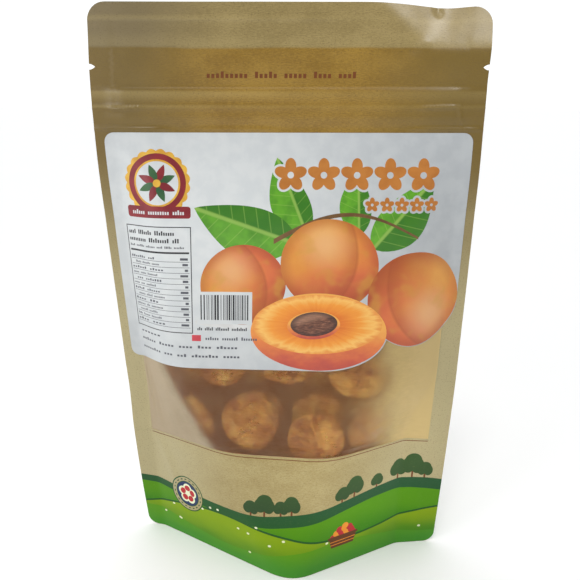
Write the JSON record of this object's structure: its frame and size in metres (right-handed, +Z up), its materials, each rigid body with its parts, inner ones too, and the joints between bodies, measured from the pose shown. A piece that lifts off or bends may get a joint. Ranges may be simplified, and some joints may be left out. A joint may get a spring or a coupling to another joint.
{
  "type": "stand-up pouch of dried apricots",
  "caption": "Sealed kraft-paper stand-up pouch with a film window, press zip, front label and bottom gusset, filled with dried apricots.",
  "frame": {"origin": "under the middle of the pouch's box, on the surface that its bottom rim stands on", "axes": "+Z up, -Y out of the front with the label and the window, +X to the right seen from the front"},
  "size_m": [0.16, 0.06, 0.247],
  "materials": {
    "kraft_laminate": "satin kraft paper laminate with a printed foot",
    "window_film": "milky satin film",
    "label_paper": "glossy printed label",
    "zip_plastic": "natural polyethylene",
    "dried_fruit": "wrinkled, slightly translucent dried fruit"
  },
  "bodies": {
    "root": {"front_panel": "kraft_laminate", "back_panel": "kraft_laminate", "bottom_gusset": "kraft_laminate", "window_film": "window_film", "front_label": "label_paper", "zip_strip_front": "zip_plastic", "zip_strip_back": "zip_plastic", "dried_apricot_01": "dried_fruit", "dried_apricot_02": "dried_fruit", "dried_apricot_03": "dried_fruit", "dried_apricot_04": "dried_fruit", "dried_apricot_05": "dried_fruit", "dried_apricot_06": "dried_fruit", "dried_apricot_07": "dried_fruit", "dried_apricot_08": "dried_fruit", "dried_apricot_09": "dried_fruit", "dried_apricot_10": "dried_fruit", "dried_apricot_11": "dried_fruit", "dried_apricot_12": "dried_fruit", "dried_apricot_13": "dried_fruit", "dried_apricot_14": "dried_fruit", "dried_apricot_15": "dried_fruit", "dried_apricot_16": "dried_fruit", "dried_apricot_17": "dried_fruit", "dried_apricot_18": "dried_fruit", "dried_apricot_19": "dried_fruit", "dried_apricot_20": "dried_fruit", "dried_apricot_21": "dried_fruit", "dried_apricot_22": "dried_fruit", "dried_apricot_23": "dried_fruit", "dried_apricot_24": "dried_fruit", "dried_apricot_25": "dried_fruit", "dried_apricot_26": "dried_fruit"}
  },
  "joints": []
}
